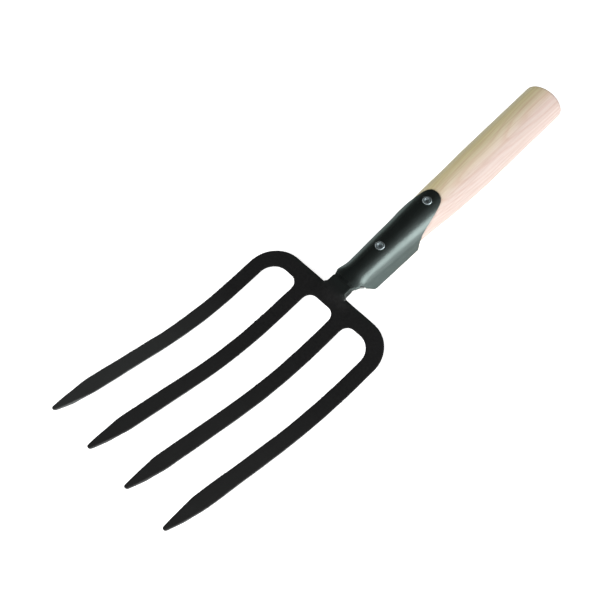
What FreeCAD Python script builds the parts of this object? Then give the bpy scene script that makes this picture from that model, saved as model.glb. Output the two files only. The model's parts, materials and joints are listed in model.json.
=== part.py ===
"""Four-tine digging fork: forged head, pressed open socket, ash handle, two ring-headed rivets.

Every sub-part is drawn in the fork's own drawing frame, in millimetres: +X across the head,
+Y up the handle, +Z out of the front face of the yoke.  One Placement then lays the whole
fork face up at rest, on the backs of the tines and the rear corners of the socket.
"""
import FreeCAD, Part
import math
import os

import Sketcher

# places of the four tines across the head, in pitches
TINES = (-1.5, -0.5, 0.5, 1.5)

DRIVING_SIZES = {
    # how far a sweep or a cutting outline runs past the material it works on
    "overrun": 6.0,
    # forged head
    "tine_pitch": 47.0,
    "tine_toe_slope": 0.00678,
    "tine_front_width": 14.1,
    "tine_back_width": 5.0,
    "tine_thickness": 7.0,
    "bend_start": 50.0,
    "bend_radius": 231.0,
    "bend_angle": 24.42,
    "tip_reach": 245.4,
    "point_length": 47.0,
    "point_flat": 4.6,
    "point_crown": 2.0,
    "point_edge_radius": 190.0,
    "point_thickness": 2.6,
    "crossbar_height": 15.4,
    "shoulder_radius": 30.0,
    "outer_slot_radius": 17.0,
    "inner_slot_radius": 9.0,
    "neck_width": 20.0,
    "neck_front": 4.0,
    "neck_front_run": 2.0,
    "neck_back": 6.0,
    "neck_root_radius": 3.0,
    "neck_shoulder": 10.0,
    "neck_blend": 15.2,
    "spigot_end": 25.0,
    "spigot_tip_width": 11.0,
    "spigot_side_step": 0.2,
    "spigot_root_front": 0.2,
    "spigot_tip_front": 0.9,
    # pressed socket
    "sheet_thickness": 2.0,
    "socket_front": 3.2,
    "collar_height": 13.0,
    "collar_half_width": 11.6,
    "collar_drop": 3.0,
    "collar_edge_half_width": 12.0,
    "collar_edge_depth": 3.0,
    "ear_height": 18.6,
    "ear_bend_half_width": 13.4,
    "ear_drop": 4.0,
    "ear_half_width": 15.1,
    "ear_depth": 2.8,
    "wing_base_height": 34.5,
    "wing_base_radius": 14.35,
    "wing_base_half_width": 16.0,
    "wing_top_height": 90.5,
    "wing_top_radius": 16.6,
    "wing_top_half_width": 17.2,
    "wing_depth": 29.5,
    "wing_front_height": 96.0,
    "wing_front_depth": 7.0,
    "tongue_side_depth": 13.0,
    "tongue_root_height": 94.0,
    "tongue_root_flare": 0.6,
    "tongue_top_height": 133.5,
    "tongue_tip_radius": 10.6,
    "tongue_half_width": 10.5,
    "socket_mouth_radius": 20.65,
    # bead between neck and socket
    "bead_low_front": 3.7,
    "bead_low_drop": 2.4,
    "bead_flare": 0.4,
    "bead_spigot_gap": 0.1,
    # wooden handle
    "handle_diameter": 40.0,
    "handle_axis_depth": 17.26,
    "handle_end_height": 287.4,
    "handle_edge_round": 3.0,
    "handle_full_height": 185.0,
    "mouth_height": 134.0,
    "mouth_wood_radius": 18.6,
    "mouth_flank_angle": 75.0,
    "fit_gap": 0.05,
    "wood_start_height": 28.0,
    "wood_side_depth_low": 19.0,
    "wood_back_low": 27.5,
    "wood_side_depth_high": 21.5,
    "wood_back_high": 33.0,
    "wood_start_radius": 12.1,
    # dished rivets and their washers
    "lower_rivet_height": 58.3,
    "upper_rivet_height": 120.9,
    "rivet_shank_radius": 3.2,
    "rivet_dish_radius": 2.2,
    "rivet_dish_depth": 1.7,
    "rivet_head_radius": 4.4,
    "rivet_head_height": 1.5,
    "rivet_tail_height": 1.2,
    "rivet_rim_height": 0.5,
    "rivet_seat_radius": 4.9,
    "rivet_seat_depth": 0.55,
    "washer_radius": 6.5,
    "washer_thickness": 1.2,
    "washer_seat_depth": 1.6,
    "washer_seat_gap": 0.2,
    "rivet_hole_gap": 0.05,
}


class Size:
    """A length with the expression that binds a feature or a constraint to the sheet."""

    def __init__(self, number, text=None):
        self.number = float(number)
        self.text = repr(float(number)) if text is None else text

    def __add__(self, other):
        other = as_size(other)
        return Size(self.number + other.number, f"({self.text} + {other.text})")

    def __sub__(self, other):
        other = as_size(other)
        return Size(self.number - other.number, f"({self.text} - {other.text})")

    def __mul__(self, other):
        other = as_size(other)
        return Size(self.number * other.number, f"({self.text} * {other.text})")

    def __truediv__(self, other):
        other = as_size(other)
        return Size(self.number / other.number, f"({self.text} / {other.text})")

    def __neg__(self):
        return Size(-self.number, f"(-{self.text})")

    __rmul__ = __mul__


def as_size(value):
    return value if isinstance(value, Size) else Size(value)


def arc_radius(half_chord, rise):
    """Radius of the arc that rises by rise over half of its chord."""
    return (half_chord * half_chord + rise * rise) / (2 * rise)


doc = FreeCAD.newDocument("DiggingFork")
sheet = doc.addObject("Spreadsheet::Sheet", "Sizes")
for row, (alias, value) in enumerate(DRIVING_SIZES.items(), start=1):
    sheet.set(f"A{row}", alias)
    sheet.set(f"B{row}", str(value))
    sheet.setAlias(f"B{row}", alias)
doc.recompute()


def size(alias):
    return Size(sheet.get(alias), f"Sizes.{alias}")


# ---------------------------------------------------------------- drawing helpers
def new_body(label):
    body = doc.addObject("PartDesign::Body", label)
    body.Label = label
    return body


def origin_plane(body, role):
    return next(item for item in body.Origin.OriginFeatures if item.Role == role)


def new_sketch(body, name, role, offset=(0, 0, 0), turn=0):
    """A sketch on an origin plane, moved by offset and turned about its own vertical axis."""
    sketch = body.newObject("Sketcher::SketchObject", name)
    sketch.AttachmentSupport = (origin_plane(body, role), "")
    sketch.MapMode = "FlatFace"
    rotation = FreeCAD.Rotation(FreeCAD.Vector(0, 1, 0), turn)
    base = FreeCAD.Vector(*[as_size(value).number for value in offset])
    sketch.AttachmentOffset = FreeCAD.Placement(base, rotation)
    for axis, value in zip("xyz", offset):
        if isinstance(value, Size):
            sketch.setExpression(f"AttachmentOffset.Base.{axis}", value.text)
    return sketch


def pin_vertex(sketch, geometry, end, point):
    """Fix one end of a geometry at a point whose coordinates are Sizes."""
    for kind, value in zip(("DistanceX", "DistanceY"), point):
        value = as_size(value)
        if value.number == 0:
            axis = -2 if kind == "DistanceX" else -1
            sketch.addConstraint(Sketcher.Constraint("PointOnObject", geometry, end, axis))
            continue
        index = sketch.addConstraint(
            Sketcher.Constraint(kind, -1, 1, geometry, end, value.number))
        sketch.setExpression(f"Constraints[{index}]", value.text)


def arc_between(start, end, radius, turn):
    """The short arc from start to end; turn is +1 for anticlockwise and -1 for clockwise."""
    chord = end - start
    half = chord.Length / 2
    rise = radius - math.sqrt(max(radius * radius - half * half, 0))
    side = FreeCAD.Vector(chord.y, -chord.x, 0).normalize()
    middle = (start + end) / 2 + side * rise * turn
    return Part.Arc(start, middle, end)


def draw_outline(sketch, start, steps):
    """A closed outline: each step is (x, y) for a line or (x, y, radius, turn) for an arc."""
    def vector(point):
        return FreeCAD.Vector(as_size(point[0]).number, as_size(point[1]).number, 0)

    previous = start
    first = None
    last = None
    for step in list(steps):
        target = step[:2]
        if len(step) == 2:
            curve = Part.LineSegment(vector(previous), vector(target))
            begins, ends = 1, 2
        else:
            radius, turn = as_size(step[2]), step[3]
            curve = arc_between(vector(previous), vector(target), radius.number, turn)
            begins, ends = (1, 2) if turn > 0 else (2, 1)
        index = sketch.addGeometry(curve, False)
        pin_vertex(sketch, index, ends, target)
        if len(step) == 4:
            bound = sketch.addConstraint(Sketcher.Constraint("Radius", index, radius.number))
            sketch.setExpression(f"Constraints[{bound}]", radius.text)
        if last is not None:
            sketch.addConstraint(Sketcher.Constraint("Coincident", last[0], last[1], index, begins))
        if first is None:
            first = (index, begins)
        last = (index, ends)
        previous = target
    sketch.addConstraint(Sketcher.Constraint("Coincident", last[0], last[1], first[0], first[1]))


def draw_circle(sketch, radius, centre=(0, 0)):
    place = FreeCAD.Vector(*[as_size(value).number for value in centre], 0)
    index = sketch.addGeometry(Part.Circle(place, FreeCAD.Vector(0, 0, 1), radius.number), False)
    pin_vertex(sketch, index, 3, centre)
    bound = sketch.addConstraint(Sketcher.Constraint("Radius", index, radius.number))
    sketch.setExpression(f"Constraints[{bound}]", radius.text)


def pad(body, name, sketch, length, reverse=False, middle=False, taper=None):
    feature = body.newObject("PartDesign::Pad", name)
    feature.Profile = sketch
    feature.Length = length.number
    feature.setExpression("Length", length.text)
    feature.Reversed = reverse
    feature.Midplane = middle
    if taper is not None:
        feature.TaperAngle = taper.number
        feature.setExpression("TaperAngle", taper.text)
    doc.recompute()
    return feature


def cut(body, name, sketch, length=None, reverse=False):
    """A pocket: through everything both ways, or to a depth on one side of its sketch."""
    before = body.Shape.Volume
    feature = body.newObject("PartDesign::Pocket", name)
    feature.Profile = sketch
    if length is None:
        feature.Type = "ThroughAll"
        feature.Midplane = True
    else:
        feature.Length = length.number
        feature.setExpression("Length", length.text)
        feature.Reversed = reverse
    doc.recompute()
    if body.Shape.Volume > before - 0.01:
        raise RuntimeError(f"{name} removed nothing")
    return feature


def loft(body, name, sketches):
    feature = body.newObject("PartDesign::AdditiveLoft", name)
    feature.Profile = sketches[0]
    feature.Sections = sketches[1:]
    feature.Ruled = True
    doc.recompute()
    return feature


# ---------------------------------------------------------------- forged head
def tine_centre(number, height):
    """Distance of a tine's centre line from the middle; number is -1.5, -0.5, 0.5 or 1.5."""
    return number * (size("tine_pitch") + size("tine_toe_slope") * height)


def draw_yoke(body):
    """The flat front of crossbar and tine roots, padded back with sloping sides."""
    half_width = size("tine_front_width") / 2
    bend = -size("bend_start")
    root = bend - size("overrun")
    slot_top = -size("crossbar_height")
    shoulder = size("shoulder_radius")
    outer_radius = size("outer_slot_radius")
    inner_radius = size("inner_slot_radius")
    tines = [(tine_centre(number, root) - half_width, tine_centre(number, root) + half_width)
             for number in TINES]
    (left_outer, left_inner), (second_left, second_right) = tines[:2]
    (third_left, third_right), (right_inner, right_outer) = tines[2:]
    sketch = new_sketch(body, "YokeFront", "XY_Plane")
    draw_outline(sketch, (left_outer + shoulder, 0), [
        (left_outer, -shoulder, shoulder, 1),
        (left_outer, root),
        (left_inner, root),
        (left_inner, slot_top - outer_radius),
        (left_inner + outer_radius, slot_top, outer_radius, -1),
        (second_left - inner_radius, slot_top),
        (second_left, slot_top - inner_radius, inner_radius, -1),
        (second_left, root),
        (second_right, root),
        (second_right, slot_top - inner_radius),
        (second_right + inner_radius, slot_top, inner_radius, -1),
        (third_left - inner_radius, slot_top),
        (third_left, slot_top - inner_radius, inner_radius, -1),
        (third_left, root),
        (third_right, root),
        (third_right, slot_top - inner_radius),
        (third_right + inner_radius, slot_top, inner_radius, -1),
        (right_inner - outer_radius, slot_top),
        (right_inner, slot_top - outer_radius, outer_radius, -1),
        (right_inner, root),
        (right_outer, root),
        (right_outer, -shoulder),
        (right_outer - shoulder, 0, shoulder, 1),
        (left_outer + shoulder, 0),
    ])
    side_slope = math.degrees(math.atan2(
        (size("tine_front_width") - size("tine_back_width")).number / 2,
        size("tine_thickness").number))
    taper = Size(-side_slope, "-atan((Sizes.tine_front_width - Sizes.tine_back_width) / 2"
                              " / Sizes.tine_thickness)")
    pad(body, "Yoke", sketch, size("tine_thickness"), reverse=True, taper=taper)

    trim = new_sketch(body, "RootTrim", "XY_Plane")
    reach = size("tine_pitch") * 2
    below = root - size("overrun")
    draw_outline(trim, (-reach, below), [
        (reach, below), (reach, bend), (-reach, bend), (-reach, below)])
    cut(body, "RootTrimCut", trim)


def add_tine(body, label, number):
    """One bent tine: a section with a wide flat front, swept along the bend to past its tip."""
    turn = math.degrees(math.atan(number * size("tine_toe_slope").number))
    centre = tine_centre(number, -size("bend_start"))
    front = size("tine_front_width") / 2
    back = size("tine_back_width") / 2
    depth = -size("tine_thickness")
    section = new_sketch(body, f"{label}Section", "XZ_Plane",
                         (centre, 0, size("bend_start")), -turn)
    draw_outline(section, (-front, 0), [(front, 0), (back, depth), (-back, depth), (-front, 0)])

    path = new_sketch(body, f"{label}Path", "YZ_Plane", (-size("bend_start"), 0, centre), -turn)
    radius = size("bend_radius")
    angle = size("bend_angle")
    bend_y = Size(-radius.number * math.sin(math.radians(angle.number)),
                  f"(-{radius.text} * sin({angle.text}))")
    bend_z = Size(radius.number * (1 - math.cos(math.radians(angle.number))),
                  f"({radius.text} * (1 - cos({angle.text})))")
    reach = size("tip_reach") - size("bend_start") + size("overrun")
    rise = Size(math.tan(math.radians(angle.number)), f"tan({angle.text})")
    end_z = bend_z + (reach + bend_y) * rise
    start = FreeCAD.Vector(0, 0, 0)
    bend_end = FreeCAD.Vector(bend_y.number, bend_z.number, 0)
    tip = FreeCAD.Vector(-reach.number, end_z.number, 0)
    curve = path.addGeometry(arc_between(start, bend_end, radius.number, -1), False)
    line = path.addGeometry(Part.LineSegment(bend_end, tip), False)
    path.addConstraint(Sketcher.Constraint("Coincident", curve, 2, -1, 1))
    path.addConstraint(Sketcher.Constraint("Coincident", curve, 1, line, 1))
    pin_vertex(path, line, 1, (bend_y, bend_z))
    pin_vertex(path, line, 2, (-reach, end_z))
    bound = path.addConstraint(Sketcher.Constraint("Radius", curve, radius.number))
    path.setExpression(f"Constraints[{bound}]", radius.text)
    doc.recompute()

    pipe = body.newObject("PartDesign::AdditivePipe", label)
    pipe.Profile = section
    pipe.Spine = (path, ["Edge1", "Edge2"])
    doc.recompute()


def shape_points(body):
    """Trim each tine to a blunt spear point, then thin the points from behind."""
    front = size("tine_front_width") / 2
    flat = size("point_flat") / 2
    edge = size("point_edge_radius")
    top = size("point_length") - size("tip_reach")
    tip = -size("tip_reach")
    nose = tip + size("point_crown")
    nose_radius = arc_radius(flat, size("point_crown"))
    overrun = size("overrun")
    beyond = tip - overrun * 2
    sketch = new_sketch(body, "PointOutlines", "XY_Plane")
    for number in TINES:
        root = tine_centre(number, top)
        end = tine_centre(number, tip)
        draw_outline(sketch, (root - front - overrun, top), [
            (root - front, top),
            (end - flat, nose, edge, 1),
            (end, tip, nose_radius, 1),
            (end + flat, nose, nose_radius, 1),
            (root + front, top, edge, 1),
            (root + front + overrun, top),
            (end + front + overrun, beyond),
            (end - front - overrun, beyond),
            (root - front - overrun, top)])
    cut(body, "Points", sketch)

    angle = math.radians(size("bend_angle").number)
    bend_y = size("bend_start").number + size("bend_radius").number * math.sin(angle)
    bend_z = size("bend_radius").number * (1 - math.cos(angle))

    def front_at(height):
        """Front face of the straight lower tine at a height below the bend."""
        return bend_z + (-height - bend_y) * math.tan(angle)

    def face_point(height, depth):
        """A point at a depth behind the front face, square to it."""
        level = front_at(height) - depth * math.cos(angle)
        return Size(height - depth * math.sin(angle)), Size(level)

    full = size("tine_thickness").number
    thin = size("point_thickness").number
    outside = full + overrun.number
    start = top.number + overrun.number
    sketch = new_sketch(body, "PointBacks", "YZ_Plane")
    draw_outline(sketch, face_point(start, full), [
        face_point(tip.number, thin), face_point(beyond.number, thin),
        face_point(beyond.number, outside), face_point(start, outside),
        face_point(start, full)])
    cut(body, "PointThinning", sketch)


def add_neck(body):
    """A thick neck that blends into the crossbar, with a spigot that fills the socket's collar."""
    half = size("neck_width") / 2
    root = size("neck_root_radius")
    top = size("neck_shoulder")
    front = size("neck_front")
    back = -size("neck_back")
    side = new_sketch(body, "NeckSide", "YZ_Plane")
    draw_outline(side, (top, back), [
        (top, front), (-size("neck_front_run"), front), (-size("neck_blend"), 0),
        (-size("crossbar_height") / 2, back), (top, back)])
    pad(body, "Neck", side, (half + root) * 2, middle=True)

    above = top + size("overrun")
    outside = half + root + size("overrun")
    flanks = new_sketch(body, "NeckFlanks", "XY_Plane")
    for sign, turn in ((1, 1), (-1, -1)):
        draw_outline(flanks, (sign * half, above), [
            (sign * half, root),
            (sign * (half + root), 0, root, turn),
            (sign * outside, 0),
            (sign * outside, above),
            (sign * half, above)])
    cut(body, "NeckFlankCut", flanks)

    sections = []
    root_width = size("neck_width") - size("spigot_side_step") * 2
    for name, height, width, face in (
            ("SpigotRoot", top, root_width, size("spigot_root_front")),
            ("SpigotTip", size("spigot_end"), size("spigot_tip_width"), -size("spigot_tip_front"))):
        sketch = new_sketch(body, name, "XZ_Plane", (0, 0, -height))
        draw_outline(sketch, (-(width / 2), back), [
            (width / 2, back), (width / 2, face), (-(width / 2), face), (-(width / 2), back)])
        sections.append(sketch)
    loft(body, "Spigot", sections)


def make_fork_head():
    body = new_body("fork_head")
    draw_yoke(body)
    for place, number in enumerate(TINES, start=1):
        add_tine(body, f"Tine{place}", number)
    shape_points(body)
    add_neck(body)
    return body


# ---------------------------------------------------------------- pressed socket
def socket_stations():
    """Sections up the socket: height, front, bend half width, bend drop, edge half width, depth."""
    front = size("socket_front")
    depth = size("wing_depth")
    mouth = size("socket_mouth_radius")
    return (
        ("Collar", size("collar_height"), front, size("collar_half_width"),
         size("collar_drop"), size("collar_edge_half_width"), size("collar_edge_depth")),
        ("Ears", size("ear_height"), front, size("ear_bend_half_width"),
         size("ear_drop"), size("ear_half_width"), size("ear_depth")),
        ("WingBase", size("wing_base_height"), front, size("wing_base_radius"),
         size("wing_base_radius"), size("wing_base_half_width"), depth),
        ("WingTop", size("wing_top_height"), front, size("wing_top_radius"),
         size("wing_top_radius"), size("wing_top_half_width"), depth),
        ("Mouth", size("mouth_height"), mouth - size("handle_axis_depth"), mouth,
         mouth, mouth, depth),
    )


def draw_trough(sketch, front, bend, drop, edge, depth):
    """A bent strip, open at the back, whose wall is one sheet thickness."""
    wall = size("sheet_thickness")
    bend_z = front - drop
    outer = arc_radius(bend, drop)
    inner = arc_radius(bend - wall, drop - wall)
    draw_outline(sketch, (0, front), [
        (-bend, bend_z, outer, 1), (-edge, -depth), (wall - edge, -depth), (wall - bend, bend_z),
        (0, front - wall, inner, -1), (bend - wall, bend_z, inner, -1), (edge - wall, -depth),
        (edge, -depth), (bend, bend_z), (0, front, outer, 1)])


def make_socket():
    body = new_body("socket")
    sections = []
    for name, height, *shape in socket_stations():
        sketch = new_sketch(body, f"{name}Section", "XZ_Plane", (0, 0, -height))
        draw_trough(sketch, *shape)
        sections.append(sketch)
    loft(body, "Trough", sections)

    # the tongue: straight flared edges up to a round tip
    top = size("tongue_top_height")
    tip_radius = size("tongue_tip_radius")
    half = size("tongue_half_width")
    root_half = size("wing_top_radius") + size("tongue_root_flare")
    root = size("tongue_root_height")
    above = size("mouth_height") + size("overrun")
    outside = size("socket_mouth_radius") + size("overrun")
    front_view = new_sketch(body, "TongueOutline", "XY_Plane")
    for sign, turn in ((1, -1), (-1, 1)):
        draw_outline(front_view, (0, top), [
            (sign * half, top - tip_radius, tip_radius, turn),
            (sign * root_half, root),
            (sign * outside, root),
            (sign * outside, above),
            (0, above),
            (0, top)])
    cut(body, "TongueCut", front_view)

    # the wings' upper edges slope down to the rear corners
    side_view = new_sketch(body, "WingTops", "YZ_Plane")
    corner = size("wing_top_height")
    rear = -(size("wing_depth") + size("overrun"))
    draw_outline(side_view, (corner, rear), [
        (above, rear), (above, -size("tongue_side_depth")),
        (size("wing_front_height"), -size("wing_front_depth")),
        (corner, -size("wing_depth")), (corner, rear)])
    cut(body, "WingTopCut", side_view)

    for name in ("lower", "upper"):
        height = size(f"{name}_rivet_height")
        seat = new_sketch(body, f"{name.title()}Seat", "XY_Plane",
                          (0, 0, size("socket_front") - size("rivet_seat_depth")))
        draw_circle(seat, size("rivet_seat_radius"), (0, height))
        cut(body, f"{name.title()}SeatCut", seat, size("overrun"), reverse=True)
        hole = new_sketch(body, f"{name.title()}Hole", "XY_Plane",
                          (0, 0, size("socket_front") - size("sheet_thickness") * 2))
        draw_circle(hole, size("rivet_shank_radius") + size("rivet_hole_gap"), (0, height))
        cut(body, f"{name.title()}HoleCut", hole, size("sheet_thickness") * 3, reverse=True)
    return body


def make_neck_weld():
    """A bead in the groove between the neck's shoulder and the lower edge of the socket."""
    body = new_body("neck_weld")
    neck_half = size("neck_width") / 2
    inner_half = neck_half - size("bead_spigot_gap")
    inner_front = size("spigot_root_front") + size("bead_spigot_gap")
    flare = size("bead_flare")
    depth = size("collar_edge_depth")
    sections = []
    for name, height, half, front, drop in (
            ("BeadLow", size("neck_shoulder"), neck_half,
             size("bead_low_front"), size("bead_low_drop")),
            ("BeadTop", size("collar_height"), size("collar_half_width"),
             size("socket_front"), size("collar_drop"))):
        sketch = new_sketch(body, name, "XZ_Plane", (0, 0, -height))
        bend_z = front - drop
        outer = arc_radius(half, drop)
        draw_outline(sketch, (0, front), [
            (-half, bend_z, outer, 1), (-half - flare, -depth), (-inner_half, -depth),
            (-inner_half, inner_front), (inner_half, inner_front), (inner_half, -depth),
            (half + flare, -depth), (half, bend_z), (0, front, outer, 1)])
        sections.append(sketch)
    loft(body, "Bead", sections)
    return body


# ---------------------------------------------------------------- handle
def draw_wood_section(sketch, front, radius, side_depth, back):
    """A round front, straight flanks down to side_depth and a shallow rounded back."""
    shoulder_z = front - radius
    back_radius = arc_radius(radius, back - side_depth)
    draw_outline(sketch, (0, front), [
        (-radius, shoulder_z, radius, 1), (-radius, -side_depth),
        (0, -back, back_radius, 1), (radius, -side_depth, back_radius, 1),
        (radius, shoulder_z), (0, front, radius, 1)])


def make_handle():
    body = new_body("handle")
    axis = size("handle_axis_depth")
    radius = size("handle_diameter") / 2
    mouth_radius = size("mouth_wood_radius")
    end = size("handle_end_height")
    edge = size("handle_edge_round")
    shaft = new_sketch(body, "ShaftProfile", "YZ_Plane", (0, -axis, 0))
    draw_outline(shaft, (size("mouth_height"), 0), [
        (end, 0), (end, radius - edge), (end - edge, radius, edge, 1),
        (size("handle_full_height"), radius), (size("mouth_height"), mouth_radius),
        (size("mouth_height"), 0)])
    feature = body.newObject("PartDesign::Revolution", "Shaft")
    feature.Profile = shaft
    feature.ReferenceAxis = (shaft, ["H_Axis"])
    feature.Angle = 360
    doc.recompute()

    # the tapered end inside the socket, from the round shaft down to a flat-sided foot
    inside = size("sheet_thickness") + size("fit_gap")
    front = size("socket_front") - inside
    flank = math.radians(size("mouth_flank_angle").number)
    side_x = mouth_radius * math.sin(flank)
    side_z = mouth_radius * math.cos(flank)
    mouth = new_sketch(body, "MouthSection", "XZ_Plane", (0, -axis, -size("mouth_height")))
    draw_outline(mouth, (0, mouth_radius), [
        (-side_x, side_z, mouth_radius, 1), (-side_x, -side_z, mouth_radius, 1),
        (0, -mouth_radius, mouth_radius, 1), (side_x, -side_z, mouth_radius, 1),
        (side_x, side_z, mouth_radius, 1), (0, mouth_radius, mouth_radius, 1)])
    sections = [mouth]
    for name, height, half, side_depth, back in (
            ("WingTopWood", size("wing_top_height"), size("wing_top_radius") - inside,
             size("wood_side_depth_high"), size("wood_back_high")),
            ("FootWood", size("wood_start_height"), size("wood_start_radius"),
             size("wood_side_depth_low"), size("wood_back_low"))):
        sketch = new_sketch(body, name, "XZ_Plane", (0, 0, -height))
        draw_wood_section(sketch, front, half, side_depth, back)
        sections.append(sketch)
    loft(body, "Tang", sections)

    # flat seats for the rivet washers behind, and the rivet holes
    for name in ("lower", "upper"):
        height = size(f"{name}_rivet_height")
        seat = new_sketch(body, f"{name.title()}WasherSeat", "XY_Plane",
                          (0, 0, washer_seat_level(name)))
        draw_circle(seat, size("washer_radius") + size("washer_seat_gap"), (0, height))
        cut(body, f"{name.title()}WasherSeatCut", seat, size("overrun"))
        hole = new_sketch(body, f"{name.title()}Hole", "XY_Plane")
        draw_circle(hole, size("rivet_shank_radius") + size("rivet_hole_gap"), (0, height))
        cut(body, f"{name.title()}HoleCut", hole)
    return body


# ---------------------------------------------------------------- rivets and washers
def washer_seat_level(name):
    """Height, on the drawing's Z, of the flat that the rivet's washer sits on."""
    height = size(f"{name}_rivet_height")
    if name == "lower":
        start, end = size("wood_start_height"), size("wing_top_height")
        first, last = size("wood_back_low"), size("wood_back_high")
    else:
        start, end = size("wing_top_height"), size("mouth_height")
        first = size("wood_back_high")
        last = size("handle_axis_depth") + size("mouth_wood_radius")
    back = first + (last - first) * (height - start) / (end - start)
    return size("washer_seat_depth") - back


def revolve_about_rivet(body, name, height, start, steps):
    """Turn a profile, drawn as distance from the rivet's axis and level, about that axis."""
    sketch = new_sketch(body, f"{name}Profile", "YZ_Plane", (height, 0, 0))
    draw_outline(sketch, start, steps)
    feature = body.newObject("PartDesign::Revolution", name)
    feature.Profile = sketch
    feature.ReferenceAxis = (sketch, ["V_Axis"])
    feature.Angle = 360
    doc.recompute()


def make_rivet(name):
    """A dished rivet: ring head in its seat at the front, domed tail behind the washer."""
    body = new_body(f"{name}_rivet")
    dish = size("rivet_dish_radius")
    shank = size("rivet_shank_radius")
    head = size("rivet_head_radius")
    seat = size("socket_front") - size("rivet_seat_depth")
    top = seat + size("rivet_head_height")
    floor = top - size("rivet_dish_depth")
    crown = (head - dish) / 2
    crest = dish + crown
    rim = size("rivet_rim_height")
    crown_radius = arc_radius(crown, size("rivet_head_height") - rim)
    tail_seat = washer_seat_level(name) - size("washer_thickness")
    tail = tail_seat - size("rivet_tail_height")
    tail_radius = arc_radius(head, size("rivet_tail_height") - rim)
    revolve_about_rivet(body, "Rivet", size(f"{name}_rivet_height"), (head, seat), [
        (head, seat + rim),
        (crest, top, crown_radius, 1),
        (dish, seat + rim, crown_radius, 1),
        (dish, floor),
        (0, floor),
        (0, tail),
        (head, tail_seat - rim, tail_radius, 1),
        (head, tail_seat),
        (shank, tail_seat),
        (shank, seat),
        (head, seat)])
    return body


def make_washer(name):
    body = new_body(f"{name}_rivet_washer")
    hole = size("rivet_shank_radius") + size("rivet_hole_gap")
    outer = size("washer_radius")
    seat = washer_seat_level(name)
    back = seat - size("washer_thickness")
    revolve_about_rivet(body, "Washer", size(f"{name}_rivet_height"), (hole, seat), [
        (hole, back), (outer, back), (outer, seat), (hole, seat)])
    return body


# ---------------------------------------------------------------- assembly at rest
def rest_placement(bodies):
    """Face up on the floor: tine backs and the socket's rear corners touch it together."""
    corner_y = size("wing_base_height").number
    corner_z = -size("wing_depth").number
    centre_y = -size("bend_start").number
    centre_z = size("bend_radius").number
    back_radius = size("bend_radius").number + size("tine_thickness").number
    distance = math.hypot(corner_y - centre_y, centre_z - corner_z)
    line_of_centres = math.atan2(centre_z - corner_z, corner_y - centre_y)
    tilt = math.degrees(line_of_centres - math.asin(back_radius / distance))
    turned = FreeCAD.Placement(FreeCAD.Vector(), FreeCAD.Rotation(FreeCAD.Vector(1, 0, 0), tilt))
    whole = Part.makeCompound([body.Shape for body in bodies])
    whole.Placement = turned
    box = whole.optimalBoundingBox()
    centre = FreeCAD.Vector(-(box.XMin + box.XMax) / 2, -(box.YMin + box.YMax) / 2, -box.ZMin)
    return FreeCAD.Placement(centre, turned.Rotation)


bodies = [make_fork_head(), make_socket(), make_neck_weld(), make_handle()]
for end_name in ("lower", "upper"):
    bodies += [make_rivet(end_name), make_washer(end_name)]
rest = rest_placement(bodies)
for body in bodies:
    body.Placement = rest
doc.recompute()

for item in doc.Objects:
    if "Invalid" in item.State or "Error" in item.State:
        raise RuntimeError(f"{item.Label} failed: {item.State}")
for body in bodies:
    if body.Shape.isNull() or not body.Shape.isValid() or len(body.Shape.Solids) != 1:
        raise RuntimeError(f"{body.Label} has no valid single solid")

os.makedirs("parts", exist_ok=True)
for body in bodies:
    body.Shape.exportStep(f"parts/{body.Label}.step")
print("rest placement", rest)
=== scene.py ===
import json
import math

import bmesh
import bpy
from mathutils import Matrix, Vector, noise


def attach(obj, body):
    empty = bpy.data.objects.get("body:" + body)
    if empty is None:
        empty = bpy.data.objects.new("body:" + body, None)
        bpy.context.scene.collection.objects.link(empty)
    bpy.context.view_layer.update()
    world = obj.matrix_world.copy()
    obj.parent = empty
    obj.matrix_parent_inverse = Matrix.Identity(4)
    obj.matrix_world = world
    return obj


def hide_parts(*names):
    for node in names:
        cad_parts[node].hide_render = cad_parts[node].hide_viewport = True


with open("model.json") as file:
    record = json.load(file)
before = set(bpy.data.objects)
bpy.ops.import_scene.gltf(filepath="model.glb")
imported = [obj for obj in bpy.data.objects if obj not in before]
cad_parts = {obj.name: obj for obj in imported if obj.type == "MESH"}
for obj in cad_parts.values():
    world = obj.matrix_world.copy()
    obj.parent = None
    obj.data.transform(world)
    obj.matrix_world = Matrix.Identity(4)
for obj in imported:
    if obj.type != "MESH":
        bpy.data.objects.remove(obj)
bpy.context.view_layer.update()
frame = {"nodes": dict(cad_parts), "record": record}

# The digging fork's looks.  Pieces are drawn in the fork's own drawing frame, in millimetres:
# +X across the head, +Y up the handle, +Z out of the front face of the yoke, as in the CAD model.
# TO_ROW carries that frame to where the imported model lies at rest.
MM = 0.001

# driving sizes, in millimetres
HANDLE_END = 287.4
HANDLE_AXIS_DEPTH = 17.26
HANDLE_RADIUS = 20.0
HANDLE_FULL_FROM = 185.0
HANDLE_EDGE_ROUND = 3.0
MOUTH_HEIGHT = 134.0
MOUTH_WOOD_RADIUS = 18.6
SHEET = 2.0
SHEET_EDGE_ROUND = 0.55
FIT_GAP = 0.05
WASHER_GAP = 0.2
SOCKET_FRONT = 3.2
NECK_FRONT = 4.0
NECK_SHOULDER = 10.0
RIVET_HEIGHTS = {"lower": 58.3, "upper": 120.9}
RIVET_DISH = 2.2
RIVET_DISH_DEPTH = 1.7
RIVET_SHANK = 3.2
RIVET_TAIL_RIM = 0.4
RIVET_TAIL_RISE = 0.8
RIVET_HEAD = 4.4
RIVET_SEAT_RADIUS = 4.9
RIVET_SEAT = SOCKET_FRONT - 0.55
RIVET_TOP = RIVET_SEAT + 1.5
WASHER_RADIUS = 6.5
WASHER_THICKNESS = 1.2
WASHER_SEAT_DEPTH = 1.6

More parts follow.
